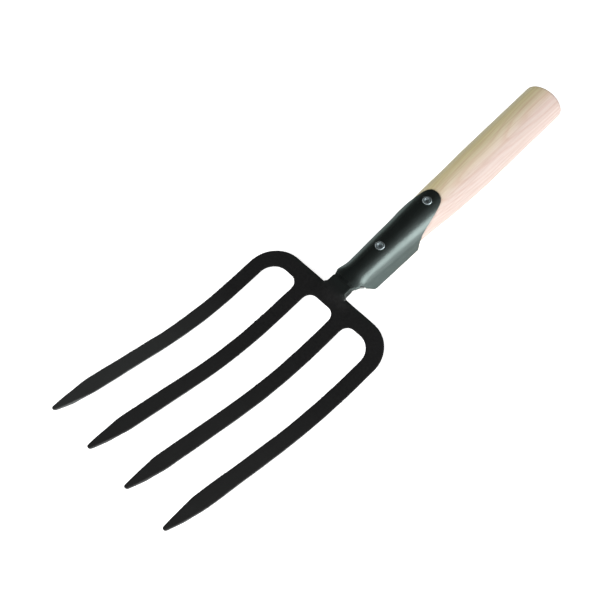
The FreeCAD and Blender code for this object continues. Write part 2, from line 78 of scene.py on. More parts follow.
# clean working: points nearer than this are one, and the reach of the pins that cut the holes
MERGE_REACH = 0.002
CUTTER_TOP = 12
CUTTER_FOOT = -50
CUTTER_CORE = 0.001

# remeshing passes: size of a voxel in millimetres, steps of smoothing
HEAD_PASSES = ((0.26, 40), (0.5, 10))
BEAD_PASSES = ((0.3, 6),)

# uneven surfaces: length and height of each wave of noise, in millimetres
HEAD_WAVES = ((16, 0.20), (5, 0.05))
BEAD_WAVES = ((3.0, 0.16), (1.2, 0.05))
SHEET_WAVES = ((14, 0.12),)
BEAD_SWELLING = 0.25

# where the neck runs down into the crossbar: its span up the fork and reach to each side, the
# corners beside it that stay flat, and the block round it that is smoothed once more
NECK_RUN = (-17.0, 2.0)
NECK_REACH = 25
NECK_FLAT_DEPTH = -0.25
CORNER_UP = (-3.5, 0.0)
CORNER_OUT = (11.0, 14.0)
BLEND_HALF_WIDTH = 11
BLEND_MIDDLE = -9
BLEND_HALF_HEIGHT = 6
BLEND_DEPTH = 1.0
BLEND_FADE = (8, 6, 1.5)

# what smoothing wears off an edge, and the span up the tines' points over which it is given back
# in a rising share: none at the tips, all of it from the shoulders up
EDGE_WEAR = 0.95
POINT_SPAN = (-226, -208)

# how many times its CAD length the visual bead has along the fork, to lap neck and socket
BEAD_OVERLAP = 1.55

# forged rings round the roots of the inner tines, each with a hollow in its middle
ROOT_PLACE = (20, -9)
ROOT_RING = 7.5
ROOT_RING_WIDTH = 3
ROOT_RING_HEIGHT = 0.20
ROOT_HOLLOW_RADIUS = 4.5
ROOT_HOLLOW_DEPTH = 0.15

# the tack of weld beside the socket's right ear
TACK_PLACE = (15.3, 19.4, -3.2)
TACK_SIZE = (3.1, 1.35, 1.6)
TACK_TURN = 38

# liberties of the real wood: how far it stands to the right, and the slope of its sawn end
HANDLE_DRIFT = 1.1
DRIFT_SPAN = (112, 172)
END_SKEW = 0.09
SKEW_RUN = 26

# socket sections: height, front, bend half width, bend drop, edge half width, edge depth
SOCKET_STATIONS = (
    (13.0, 3.2, 11.6, 3.0, 12.0, 3.0),
    (18.6, 3.2, 13.4, 4.0, 15.1, 2.8),
    (34.5, 3.2, 14.35, 14.35, 16.0, 29.5),
    (90.5, 3.2, 16.6, 16.6, 17.2, 29.5),
    (134.0, 3.39, 20.65, 20.65, 20.65, 29.5),
)
# upper edge of the socket: place across the sheet (0 front, 1 end of the bend, 2 free edge), height
SOCKET_TOP_EDGE = (
    (0.0, 133.5), (0.10, 133.3), (0.19, 132.3), (0.27, 130.3), (0.34, 127.0), (0.42, 121.0),
    (0.50, 114.8), (0.59, 108.3), (0.68, 101.9), (0.84, 96.0), (1.10, 93.6), (2.0, 90.5),
)
# wood inside the socket: height, front, half width, flank depth, back depth
WOOD_STATIONS = (
    (28.0, 1.15, 12.1, 19.0, 27.5),
    (90.5, 1.15, 14.55, 21.5, 33.0),
)
HALF_STEPS = 64


def lay_out():
    """The drawing frame's place in the row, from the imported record's handle_end mount."""
    mount = next(item for item in frame["record"]["mounts"] if item["name"] == "handle_end")
    along = Vector(mount["axis"]).normalized()
    across = Vector((1, 0, 0))
    outward = across.cross(along)
    origin = (Vector(mount["pos_m"]) - along * HANDLE_END * MM + outward * HANDLE_AXIS_DEPTH * MM)
    turn = Matrix((across, along, outward)).transposed().to_4x4()
    return Matrix.Translation(origin) @ turn


TO_ROW = lay_out()


# ---------------------------------------------------------------- small helpers
def clear_share(value, start, end):
    """How far a value is on its way from start to end, from 0 to 1."""
    return min(1.0, max(0.0, (value - start) / (end - start)))


def smooth_share(value, start, end):
    """The same with a soft start and a soft end."""
    share = clear_share(value, start, end)
    return share * share * (3 - 2 * share)


def table_value(table, place, column):
    """Straight-line reading of a table whose first column is the place."""
    if place <= table[0][0]:
        return table[0][column]
    for low, high in zip(table, table[1:]):
        if place <= high[0]:
            share = (place - low[0]) / (high[0] - low[0])
            return low[column] + (high[column] - low[column]) * share
    return table[-1][column]


def eased_value(table, place, column, reach):
    """The same reading with its corners rounded over reach on both sides."""
    steps = range(-4, 5)
    return sum(table_value(table, place + reach * step / 4, column) for step in steps) / len(steps)


def mesh_object(name, points, faces):
    """A linked object from points in millimetres."""
    mesh = bpy.data.meshes.new(name)
    mesh.from_pydata([Vector(point) * MM for point in points], [], faces)
    mesh.validate()
    piece = bpy.data.objects.new(name, mesh)
    bpy.context.scene.collection.objects.link(piece)
    return piece


def grid_faces(rows, columns, wrap=False):
    """Quads over a grid of points stored row by row; wrap joins each row's end to its start."""
    faces = []
    for row in range(rows - 1):
        for column in range(columns if wrap else columns - 1):
            right = (column + 1) % columns
            faces.append((row * columns + column, row * columns + right,
                          (row + 1) * columns + right, (row + 1) * columns + column))
    return faces


def add_modifier(piece, kind, **settings):
    modifier = piece.modifiers.new(kind.title(), kind)
    for key, value in settings.items():
        setattr(modifier, key, value)
    return modifier


def bake_modifiers(piece):
    """Replaces the mesh by what its modifiers make of it."""
    bpy.context.view_layer.update()
    evaluated = piece.evaluated_get(bpy.context.evaluated_depsgraph_get())
    mesh = bpy.data.meshes.new_from_object(evaluated)
    piece.modifiers.clear()
    piece.data = mesh


def shade(piece, sharp_angle):
    """Smooth shading, with edges sharp above an angle in degrees."""
    for polygon in piece.data.polygons:
        polygon.use_smooth = True
    piece.data.set_sharp_from_angle(angle=math.radians(sharp_angle))


def face_outward(piece):
    """Merges points that coincide and turns the faces outward."""
    work = bmesh.new()
    work.from_mesh(piece.data)
    bmesh.ops.remove_doubles(work, verts=work.verts, dist=MERGE_REACH * MM)
    bmesh.ops.recalc_face_normals(work, faces=work.faces)
    work.to_mesh(piece.data)
    work.free()


def swell(piece, waves, swelling=0.0):
    """Moves the surface out by swelling and by smooth noise of (wavelength, height), in millimetres."""
    normals = [vertex.normal.copy() for vertex in piece.data.vertices]
    for vertex, normal in zip(piece.data.vertices, normals):
        place = vertex.co / MM
        dent = swelling + sum(noise.noise(place / length) * height for length, height in waves)
        vertex.co += normal * dent * MM


def lathe(name, profile, centre_height, segments=64):
    """Turns a closed profile of (distance, level) points about a rivet's axis."""
    points = []
    for step in range(segments):
        angle = 2 * math.pi * step / segments
        points += [(radius * math.cos(angle), centre_height + radius * math.sin(angle), level)
                   for radius, level in profile]
    count = len(profile)
    faces = []
    for step in range(segments):
        ahead = (step + 1) % segments
        for index in range(count):
            after = (index + 1) % count
            faces.append((step * count + index, ahead * count + index,
                          ahead * count + after, step * count + after))
    piece = mesh_object(name, points, faces)
    face_outward(piece)
    return piece


def finish_piece(piece, node, material):
    piece.data.transform(TO_ROW)
    piece.data.materials.clear()
    piece.data.materials.append(material)
    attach(piece, "root")
    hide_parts(node)


# ---------------------------------------------------------------- materials
# the tree's pith, in metres: its place left of and behind the drawing origin at a level, its lean
PITH_LEFT = 0.010
PITH_BEHIND = 0.055
PITH_LEVEL = 0.150
PITH_LEAN = 0.022
RING_SPACING = 0.0020


class Shader:
    """A shorthand for building one node material."""

    def __init__(self, name):
        self.material = bpy.data.materials.new(name)
        self.material.use_nodes = True
        self.tree = self.material.node_tree
        self.surface = self.tree.nodes["Principled BSDF"]
        to_drawing = TO_ROW.inverted()
        coordinates = self.add("ShaderNodeTexCoord").outputs["Object"]
        self.place = self.add("ShaderNodeMapping", {
            "Vector": coordinates, "Location": to_drawing.to_translation(),
            "Rotation": to_drawing.to_euler()}).outputs["Vector"]

    def add(self, kind, inputs=None, **settings):
        """A new node, set up and connected."""
        node = self.tree.nodes.new(kind)
        for key, value in settings.items():
            setattr(node, key, value)
        self.connect(node, inputs or {})
        return node

    def connect(self, node, inputs):
        """Links each input that is given a socket, and sets each that is given a value."""
        for key, value in inputs.items():
            if isinstance(value, bpy.types.NodeSocket):
                self.tree.links.new(value, node.inputs[key])
            else:
                node.inputs[key].default_value = value

    def scaled(self, factors):
        """The place times a factor on each axis, in turns per metre."""
        node = self.add("ShaderNodeVectorMath", {0: self.place, 1: factors}, operation="MULTIPLY")
        return node.outputs[0]

    def noise(self, vector, scale=1.0, detail=4.0, roughness=0.55):
        node = self.add("ShaderNodeTexNoise", {
            "Vector": vector, "Scale": scale, "Detail": detail, "Roughness": roughness})
        return node.outputs["Fac"]

    def ramp(self, value, *stops):
        """Maps a value through colour stops of (position, colour)."""
        node = self.add("ShaderNodeValToRGB", {"Fac": value})
        elements = node.color_ramp.elements
        while len(elements) < len(stops):
            elements.new(0.5)
        for element, (position, colour) in zip(elements, stops):
            element.position = position
            element.color = (*colour, 1)
        return node.outputs["Color"]

    def span(self, value, low, high, start=0.0, end=1.0):
        """Maps a value from start..end to low..high."""
        node = self.add("ShaderNodeMapRange", {
            "Value": value, "From Min": start, "From Max": end, "To Min": low, "To Max": high})
        return node.outputs["Result"]

    def math(self, operation, first, second=0.0):
        """One sum on values; its second value is left out where the sum takes only one."""
        return self.add("ShaderNodeMath", {0: first, 1: second}, operation=operation).outputs[0]

    def mix(self, factor, first, second, blend="MIX"):
        """Two colours mixed; inputs 0, 6 and 7 are the factor and the colours."""
        node = self.add("ShaderNodeMix", data_type="RGBA", blend_type=blend)
        self.connect(node, {0: factor, 6: first, 7: second})
        return node.outputs[2]

    def bump(self, height, distance, strength, below=None):
        inputs = {"Height": height, "Distance": distance, "Strength": strength}
        if below is not None:
            inputs["Normal"] = below
        return self.add("ShaderNodeBump", inputs).outputs["Normal"]

    def drive(self, **inputs):
        """Feeds the surface; an underscore in a name stands for a space."""
        self.connect(self.surface, {key.replace("_", " "): value for key, value in inputs.items()})


def forged_black():
    """Satin near-black lacquer over scale and hammer marks, greener on the neck; painted light pales
    the tines, the left one most.
    """
    shader = Shader("forged_black_lacquer")
    broad = shader.noise(shader.place, scale=70, detail=2)
    scale_marks = shader.noise(shader.place, scale=420, detail=5, roughness=0.6)
    grain = shader.noise(shader.place, scale=1500, detail=3)
    colour = shader.ramp(scale_marks, (0.30, (0.050, 0.050, 0.051)), (0.75, (0.071, 0.071, 0.072)))
    axes = shader.add("ShaderNodeSeparateXYZ", {0: shader.place}).outputs
    on_neck = shader.span(axes["Y"], 0.0, 1.0, -0.006, 0.006)
    colour = shader.mix(on_neck, colour, (0.054, 0.065, 0.062, 1))
    # painted light: the tines are made paler from the crossbar down towards their points, where more
    # light falls on them
    tine_light = shader.span(axes["Y"], 0.0, 1.0, -0.060, -0.150)
    colour = shader.mix(tine_light, colour, (0.080, 0.081, 0.081, 1))
    # painted light: the left tine is made paler still
    left_tine_light = shader.math("MULTIPLY", tine_light, shader.span(axes["X"], 0.0, 1.0, -0.040, -0.060))
    colour = shader.mix(left_tine_light, colour, (0.120, 0.126, 0.125, 1))
    roughness = shader.span(broad, 0.29, 0.38, 0.3, 0.7)
    low = shader.bump(broad, 0.9 * MM, 0.30)
    normal = shader.bump(scale_marks, 0.12 * MM, 0.5, below=low)
    normal = shader.bump(grain, 0.03 * MM, 0.5, below=normal)
    shader.drive(Base_Color=colour, Metallic=0.8, Roughness=roughness, Normal=normal,
                 Specular_Tint=(0.35, 0.35, 0.35, 1))
    return shader.material


def pressed_black():
    """Glossier black lacquer on rolled sheet, faintly green, with orange peel and drawing lines."""
    shader = Shader("pressed_black_lacquer")
    peel = shader.noise(shader.place, scale=520, detail=3)
    lines = shader.noise(shader.scaled((260, 30, 260)), detail=4)
    cloud = shader.noise(shader.place, scale=60, detail=3)
    colour = shader.ramp(cloud, (0.3, (0.124, 0.153, 0.147)), (0.7, (0.141, 0.173, 0.167)))
    roughness = shader.span(lines, 0.29, 0.37, 0.3, 0.7)
    normal = shader.bump(peel, 0.12 * MM, 0.70)
    normal = shader.bump(cloud, 0.5 * MM, 0.25, below=normal)
    shader.drive(Base_Color=colour, Metallic=0.95, Roughness=roughness, Normal=normal,
                 Specular_Tint=(0.34, 0.34, 0.34, 1))
    return shader.material


def welded_black():
    """The socket's lacquer again, run thick over the bead; a pale, less metallic patch painted on the
    tack's outer end is a painted glint.
    """
    shader = Shader("weld_black_lacquer")
    rough = shader.noise(shader.place, scale=800, detail=4)
    colour = shader.ramp(rough, (0.3, (0.105, 0.128, 0.123)), (0.8, (0.140, 0.165, 0.160)))
    across = shader.add("ShaderNodeSeparateXYZ", {0: shader.place}).outputs["X"]
    # painted highlight: the tack's outer end is made pale and less metallic to stand for its glint
    tack_glint = shader.span(across, 0.0, 1.0, 0.0132, 0.0142)
    colour = shader.mix(tack_glint, colour, (0.72, 0.75, 0.74, 1))
    normal = shader.bump(rough, 0.10 * MM, 0.4)
    metal = shader.span(tack_glint, 0.95, 0.75)
    shader.drive(Base_Color=colour, Metallic=metal, Roughness=shader.span(rough, 0.24, 0.34),
                 Normal=normal, Specular_Tint=(0.34, 0.34, 0.34, 1))
    return shader.material


def zinc(name, base, rough):
    """Plated steel with a fine spangle and small handling marks."""
    shader = Shader(name)
    spangle = shader.noise(shader.place, scale=1900, detail=3)
    stain = shader.noise(shader.place, scale=340, detail=3)
    dark = tuple(0.72 * channel for channel in base)
    colour = shader.ramp(stain, (0.30, dark), (0.62, base))
    normal = shader.bump(spangle, 0.03 * MM, 0.4)
    shader.drive(Base_Color=colour, Metallic=0.97, Roughness=shader.span(spangle, rough, rough + 0.14),
                 Normal=normal)
    return shader.material


def ash_wood():
    """Pale ash: rings about a pith that leans along the length, pores, and painted shade in three broad
    tints across it: an olive cast on the left, a darker left edge and a darker right side.
    """
    shader = Shader("ash_wood")
    across, along, depth = shader.add("ShaderNodeSeparateXYZ", {0: shader.place}).outputs
    sway = shader.noise(shader.scaled((14, 5.5, 14)), detail=1)
    wander = shader.span(sway, -0.0045, 0.0045, 0.25, 0.75)
    ripple = shader.noise(shader.scaled((150, 14, 150)), detail=2)
    fine = shader.span(ripple, -0.0005, 0.0005, 0.25, 0.75)
    lean = shader.math("MULTIPLY", shader.math("SUBTRACT", along, PITH_LEVEL), PITH_LEAN)
    pith_x = shader.math("ADD", across, PITH_LEFT)
    pith_z = shader.math("ADD", shader.math("ADD", depth, PITH_BEHIND), lean)
    distance = shader.math("SQRT", shader.math("ADD", shader.math("MULTIPLY", pith_x, pith_x),
                                               shader.math("MULTIPLY", pith_z, pith_z)))
    distance = shader.math("ADD", distance, shader.math("ADD", wander, fine))
    ring = shader.math("FRACT", shader.math("DIVIDE", distance, RING_SPACING))
    late = shader.ramp(ring, (0.0, (0.25, 0.25, 0.25)), (0.45, (0.0, 0.0, 0.0)),
                       (0.88, (1.0, 1.0, 1.0)), (1.0, (0.25, 0.25, 0.25)))
    pores = shader.noise(shader.scaled((2300, 45, 2300)), detail=3, roughness=0.6)
    pore_lines = shader.span(pores, 0.0, 1.0, 0.60, 0.72)
    streaks = shader.noise(shader.scaled((850, 8, 850)), detail=4)
    patches = shader.noise(shader.scaled((30, 8, 30)), detail=2)
    pale = shader.ramp(patches, (0.30, (0.790, 0.660, 0.590)), (0.70, (0.830, 0.690, 0.635)))
    figured = shader.mix(shader.math("MULTIPLY", late, 0.42), pale, (0.68, 0.45, 0.37, 1))
    streaked = shader.mix(shader.span(streaks, 0.0, 0.60, 0.46, 0.72), figured, (0.62, 0.42, 0.34, 1))
    colour = shader.mix(shader.math("MULTIPLY", pore_lines, 0.20), streaked, (0.48, 0.33, 0.22, 1))
    # painted shade: a yellow-olive cast over the left side of the wood, fading out towards the right
    left_olive_shade = shader.span(shader.math("ADD", across, wander), 1.0, 0.0, -0.009, 0.013)
    colour = shader.mix(left_olive_shade, colour, (0.96, 1.04, 0.66, 1), blend="MULTIPLY")
    # painted shade: the left edge of the wood is darkened
    left_edge_shade = shader.span(across, 1.0, 0.0, -0.0145, -0.0085)
    colour = shader.mix(left_edge_shade, colour, (0.84, 0.87, 0.97, 1), blend="MULTIPLY")
    # painted shade: the right side of the wood is darkened
    right_side_shade = shader.span(shader.math("ADD", across, wander), 0.0, 1.0, 0.006, 0.018)
    colour = shader.mix(right_side_shade, colour, (0.79, 0.79, 0.80, 1), blend="MULTIPLY")
    height = shader.math("SUBTRACT", shader.math("MULTIPLY", late, 0.5), pore_lines)
    normal = shader.bump(height, 0.06 * MM, 0.5)
    shader.drive(Base_Color=colour, Roughness=shader.span(streaks, 0.44, 0.58), Normal=normal,
                 Specular_IOR_Level=0.35)
    return shader.material


FORGED = forged_black()
PRESSED = pressed_black()
WELDED = welded_black()
RIVET_ZINC = zinc("bright_zinc", (0.70, 0.82, 0.86), 0.36)
WASHER_ZINC = zinc("dull_zinc", (0.66, 0.68, 0.68), 0.34)
ASH = ash_wood()


# ---------------------------------------------------------------- forged head
def melt(source_name, name, passes):
    """A copy of a CAD solid in the drawing frame, its edges rounded by remeshing and smoothing."""
    piece = bpy.data.objects.new(name, frame["nodes"][source_name].data.copy())
    bpy.context.scene.collection.objects.link(piece)
    piece.data.transform(TO_ROW.inverted())
    face_outward(piece)
    for voxel, smoothing in passes:
        add_modifier(piece, "REMESH", mode="VOXEL", voxel_size=voxel * MM, use_smooth_shade=True)
        add_modifier(piece, "SMOOTH", factor=0.5, iterations=smoothing)
        bake_modifiers(piece)
    return piece


def neck_swell(point):
    """Height of the forging where the neck runs down into the crossbar's flat front."""
    share = clear_share(point.y, *NECK_RUN)
    spread = smooth_share(abs(point.x), NECK_REACH - 5 * share, 1 + 4 * share)
    corner = smooth_share(point.y, *CORNER_UP) * smooth_share(abs(point.x), *CORNER_OUT)
    return NECK_FRONT * smooth_share(share, 0.0, 1.0) * spread * (1 - corner)


def neck_share(point):
    """How much a point, in millimetres, belongs to the front of the blend of neck and crossbar."""
    across = max(0.0, abs(point.x) - BLEND_HALF_WIDTH) / BLEND_FADE[0]
    along = max(0.0, abs(point.y - BLEND_MIDDLE) - BLEND_HALF_HEIGHT) / BLEND_FADE[1]
    deep = max(0.0, BLEND_DEPTH - point.z) / BLEND_FADE[2]
    return max(0.0, 1 - math.sqrt(across ** 2 + along ** 2 + deep ** 2))


def root_mark(point):
    """Height of the forged ring round an inner tine's root, in millimetres."""
    if point.z < -1:
        return 0.0
    height = 0.0
    for side in (-1, 1):
        reach = math.hypot(point.x - side * ROOT_PLACE[0], point.y - ROOT_PLACE[1])
        height += ROOT_RING_HEIGHT * math.exp(-((reach - ROOT_RING) / ROOT_RING_WIDTH) ** 2)
        height -= ROOT_HOLLOW_DEPTH * math.exp(-(reach / ROOT_HOLLOW_RADIUS) ** 2)
    return height


def regrow_edges(piece):
    """Gives back, in the plane of the yoke, what smoothing wore off all edges but the points'."""
    normals = [vertex.normal.copy() for vertex in piece.data.vertices]
    for vertex, normal in zip(piece.data.vertices, normals):
        share = smooth_share(vertex.co.y / MM, *POINT_SPAN)
        vertex.co += Vector((normal.x, normal.y, 0)) * EDGE_WEAR * share * MM


def make_fork_head():
    """The CAD forging with its edges softened and the neck run down into the crossbar."""
    piece = melt("fork_head", "forged_head", HEAD_PASSES)
    regrow_edges(piece)
    for vertex in piece.data.vertices:
        place = vertex.co / MM
        on_front = place.z > NECK_FLAT_DEPTH and NECK_RUN[0] < place.y < 0
        if on_front and abs(place.x) < NECK_REACH:
            vertex.co.z = (neck_swell(place) + min(0.0, place.z)) * MM
    group = piece.vertex_groups.new(name="neck")
    for vertex in piece.data.vertices:
        share = neck_share(vertex.co / MM)
        if share > 0:
            group.add([vertex.index], share, "REPLACE")
    add_modifier(piece, "SMOOTH", factor=0.8, iterations=60, vertex_group="neck")
    bake_modifiers(piece)
    for vertex in piece.data.vertices:
        vertex.co.z += root_mark(vertex.co / MM) * MM
    swell(piece, HEAD_WAVES)
    finish_piece(piece, "fork_head", FORGED)


# ---------------------------------------------------------------- pressed socket
def sheet_point(across, height):
    """A point of the socket's outer face; across runs from -2 to 2, as in SOCKET_TOP_EDGE."""
    front, bend, drop, edge, depth = (
        eased_value(SOCKET_STATIONS, height, column, 2.5) for column in range(1, 6))
    side = math.copysign(1, across)
    share = abs(across)
    if share <= 1:
        radius = (bend * bend + drop * drop) / (2 * drop)
        angle = share * math.asin(min(1, bend / radius))
        return Vector((side * radius * math.sin(angle), height, front - radius * (1 - math.cos(angle))))
    run = share - 1
    return Vector((side * (bend + (edge - bend) * run), height,
                   front - drop + (drop - front - depth) * run))


def rivet_cutter(name):
    """A stepped pin that cuts the head's seat, the hole and the washer's seat."""
    seat = washer_seat(name)
    hole = RIVET_SHANK + FIT_GAP
    wide = WASHER_RADIUS + WASHER_GAP
    profile = [(CUTTER_CORE, CUTTER_TOP), (RIVET_SEAT_RADIUS, CUTTER_TOP),
               (RIVET_SEAT_RADIUS, RIVET_SEAT), (hole, RIVET_SEAT), (hole, seat), (wide, seat),
               (wide, CUTTER_FOOT), (CUTTER_CORE, CUTTER_FOOT)]
    return lathe(f"cutter_{name}", profile, RIVET_HEIGHTS[name], segments=48)


def joined_faces(faces):
    """Groups faces that share edges."""
    left = set(faces)
    shells = []
    while left:
        front = [left.pop()]
        shell = []
        while front:
            face = front.pop()
            shell.append(face)
            for edge in face.edges:
                near = left.intersection(edge.link_faces)
                left -= near
                front += near
        shells.append(shell)
    return shells


def keep_main_shell(piece):
    """Drops the slivers that cutting leaves and turns the faces outward."""
    work = bmesh.new()
    work.from_mesh(piece.data)
    bmesh.ops.remove_doubles(work, verts=work.verts, dist=MERGE_REACH * MM)
    shells = sorted(joined_faces(work.faces), key=len)
    loose = [face for shell in shells[:-1] for face in shell]
    bmesh.ops.delete(work, geom=loose, context="FACES")
    bmesh.ops.recalc_face_normals(work, faces=work.faces)
    if work.calc_volume(signed=True) < 0:
        bmesh.ops.reverse_faces(work, faces=work.faces)
    work.to_mesh(piece.data)
    work.free()


def cut_rivet_holes(piece):
    """Cuts both rivets' seats and holes out of the socket or the handle."""
    for name in RIVET_HEIGHTS:
        cutter = rivet_cutter(name)
        add_modifier(piece, "BOOLEAN", operation="DIFFERENCE", solver="EXACT", object=cutter)
        bake_modifiers(piece)
        bpy.data.objects.remove(cutter)
    keep_main_shell(piece)


def make_socket():
    """The socket's outer face as a grid, given its thickness, round edges and rivet holes."""
    wing_steps = 26
    bend_steps = 64
    half = [step / bend_steps for step in range(bend_steps + 1)]
    half += [1 + step / wing_steps for step in range(1, wing_steps + 1)]
    across = [-place for place in reversed(half[1:])] + half
    low = SOCKET_STATIONS[0][0]
    wing_base = SOCKET_STATIONS[2][0]
    lower_rows = 26
    upper_rows = 84
    points = []
    for row in range(lower_rows + upper_rows + 1):
        for place in across:
            top = eased_value(SOCKET_TOP_EDGE, abs(place), 1, 0.035)
            if row <= lower_rows:
                height = low + (wing_base - low) * row / lower_rows
            else:
                height = wing_base + (top - wing_base) * (row - lower_rows) / upper_rows
            points.append(sheet_point(place, height))
    piece = mesh_object("pressed_socket", points,
                        grid_faces(lower_rows + upper_rows + 1, len(across)))
    face_outward(piece)
    middle = piece.data.polygons[len(piece.data.polygons) // 2]
    if middle.normal.z < 0:
        piece.data.flip_normals()
    add_modifier(piece, "SOLIDIFY", thickness=SHEET * MM, offset=-1, use_even_offset=True)
    add_modifier(piece, "BEVEL", width=SHEET_EDGE_ROUND * MM, segments=3, limit_method="ANGLE",
                 angle_limit=math.radians(55))
    bake_modifiers(piece)
    cut_rivet_holes(piece)
    swell(piece, SHEET_WAVES)
    shade(piece, 38)
    finish_piece(piece, "socket", PRESSED)


# ---------------------------------------------------------------- weld
def make_weld():
    """The bead run round the neck into the socket's foot, with a tack beside the right ear."""
    piece = melt("neck_weld", "neck_weld_bead", BEAD_PASSES)
    swell(piece, BEAD_WAVES, BEAD_SWELLING)
    middle = (NECK_SHOULDER + SOCKET_STATIONS[0][0]) / 2
    for vertex in piece.data.vertices:
        vertex.co.y = (middle + (vertex.co.y / MM - middle) * BEAD_OVERLAP) * MM
    work = bmesh.new()
    work.from_mesh(piece.data)
    tack = bmesh.ops.create_icosphere(work, subdivisions=4, radius=1)
    turn = Matrix.Rotation(math.radians(TACK_TURN), 3, "Z")
    for vertex in tack["verts"]:
        lump = 1 + 0.14 * noise.noise(vertex.co * 1.6)
        shape = turn @ (vertex.co * Vector(TACK_SIZE)) * lump
        vertex.co = (Vector(TACK_PLACE) + shape) * MM
    for face in work.faces:
        face.smooth = True
    work.to_mesh(piece.data)
    work.free()
    finish_piece(piece, "neck_weld", WELDED)


# ---------------------------------------------------------------- handle
def half_outline(station):
    """Half of the wood's outline, from the front round to the back."""
    front, radius, flank, back = station[1:]
    outline = [(radius * math.sin(turn), front - radius * (1 - math.cos(turn)))
               for turn in (math.pi / 2 * step / 40 for step in range(41))]
    rise = back - flank
    back_radius = (radius * radius + rise * rise) / (2 * rise)
    spread = math.asin(min(1, radius / back_radius))
    outline += [(back_radius * math.sin(turn), -back + back_radius * (1 - math.cos(turn)))
                for turn in (spread * (1 - step / 40) for step in range(41))]
    return outline


def even_steps(outline, count):
    """The outline's points at equal distances along it."""
    lengths = [0.0]
    for first, second in zip(outline, outline[1:]):
        lengths.append(lengths[-1] + math.dist(first, second))
    table = [(length, *point) for length, point in zip(lengths, outline)]
    return [(table_value(table, lengths[-1] * step / count, 1),
             table_value(table, lengths[-1] * step / count, 2)) for step in range(count + 1)]


WOOD_OUTLINES = [even_steps(half_outline(station), HALF_STEPS) for station in WOOD_STATIONS]


def circle_half(radius):
    """Half of the round shaft's section, in the same steps."""
    return [(radius * math.sin(math.pi * step / HALF_STEPS),
             radius * math.cos(math.pi * step / HALF_STEPS) - HANDLE_AXIS_DEPTH)
            for step in range(HALF_STEPS + 1)]


def shaft_radius(height):
    """Radius of the shaft, which swells from the socket's mouth to its full size."""
    share = clear_share(height, MOUTH_HEIGHT, HANDLE_FULL_FROM)
    return MOUTH_WOOD_RADIUS + (HANDLE_RADIUS - MOUTH_WOOD_RADIUS) * share


def wood_half(height):
    """Half of the wood's section at a height up the fork."""
    if height >= MOUTH_HEIGHT:
        return circle_half(shaft_radius(height))
    levels = [(WOOD_STATIONS[0][0], WOOD_OUTLINES[0]), (WOOD_STATIONS[1][0], WOOD_OUTLINES[1]),
              (MOUTH_HEIGHT, circle_half(MOUTH_WOOD_RADIUS))]
    low, high = levels[:2] if height <= WOOD_STATIONS[1][0] else levels[1:]
    share = (height - low[0]) / (high[0] - low[0])
    return [(a[0] + (b[0] - a[0]) * share, a[1] + (b[1] - a[1]) * share)
            for a, b in zip(low[1], high[1])]


def wood_ring(height, shrink=1.0):
    """The whole section, drawn in towards its middle by shrink."""
    reach = min(5, height - WOOD_STATIONS[0][0])
    readings = [wood_half(height + reach * step) for step in (-1, -0.5, 0, 0.5, 1)]
    half = [tuple(sum(values) / len(readings) for values in zip(*column)) for column in zip(*readings)]
    middle = (half[0][1] + half[-1][1]) / 2
    ring = half + [(-x, z) for x, z in reversed(half[1:-1])]
    return [(x * shrink, height, middle + (z - middle) * shrink) for x, z in ring]


def settle_wood(piece):
    """Sets the wood a little to the right above the mouth, and its sawn end out of square."""
    last = HANDLE_END - HANDLE_EDGE_ROUND
    for vertex in piece.data.vertices:
        place = vertex.co / MM
        drift = HANDLE_DRIFT * smooth_share(place.y, *DRIFT_SPAN)
        near_end = clear_share(place.y, last - SKEW_RUN, last)
        skew = END_SKEW * place.x * near_end * near_end
        vertex.co = Vector((place.x + drift, place.y + skew, place.z)) * MM


def make_handle():
    """The shaft from its flat foot in the socket to its rounded, sawn end."""
    foot = WOOD_STATIONS[0][0]
    rings = [wood_ring(foot, shrink) for shrink in (0.02, 0.3, 0.6, 0.85, 0.95)]
    rings += [wood_ring(foot + 0.15, 0.985), wood_ring(foot + 0.7)]
    height = foot + 3
    last = HANDLE_END - HANDLE_EDGE_ROUND
    while height < last - 1:
        rings.append(wood_ring(height))
        height += 2.5
    for step in range(7):
        turn = math.pi / 2 * step / 6
        inset = HANDLE_EDGE_ROUND * (1 - math.cos(turn))
        rings.append(wood_ring(last + HANDLE_EDGE_ROUND * math.sin(turn), 1 - inset / HANDLE_RADIUS))
    rings += [wood_ring(HANDLE_END, shrink) for shrink in (0.9, 0.75, 0.5, 0.25, 0.02)]
    count = len(rings[0])
    points = [point for ring in rings for point in ring]
    faces = grid_faces(len(rings), count, wrap=True)
    faces.append(tuple(range(count)))
    faces.append(tuple(range(len(points) - count, len(points))))
    piece = mesh_object("ash_handle", points, faces)
    face_outward(piece)
    cut_rivet_holes(piece)
    settle_wood(piece)
    shade(piece, 40)
    finish_piece(piece, "handle", ASH)


# ---------------------------------------------------------------- rivets and washers
def washer_seat(name):
    """Level of the flat behind the handle that a rivet's washer sits on."""
    back = -wood_half(RIVET_HEIGHTS[name])[-1][1]
    return WASHER_SEAT_DEPTH - back


def rolled_lip(inner, outer, base, top, steps=14):
    """The ring round a dished head, from its outer edge over the crest to the dish."""
    middle = (inner + outer) / 2
    half = (outer - inner) / 2
    return [(middle + half * math.cos(math.pi * step / steps),
             base + (top - base) * math.sin(math.pi * step / steps) ** 0.8)
            for step in range(steps + 1)]


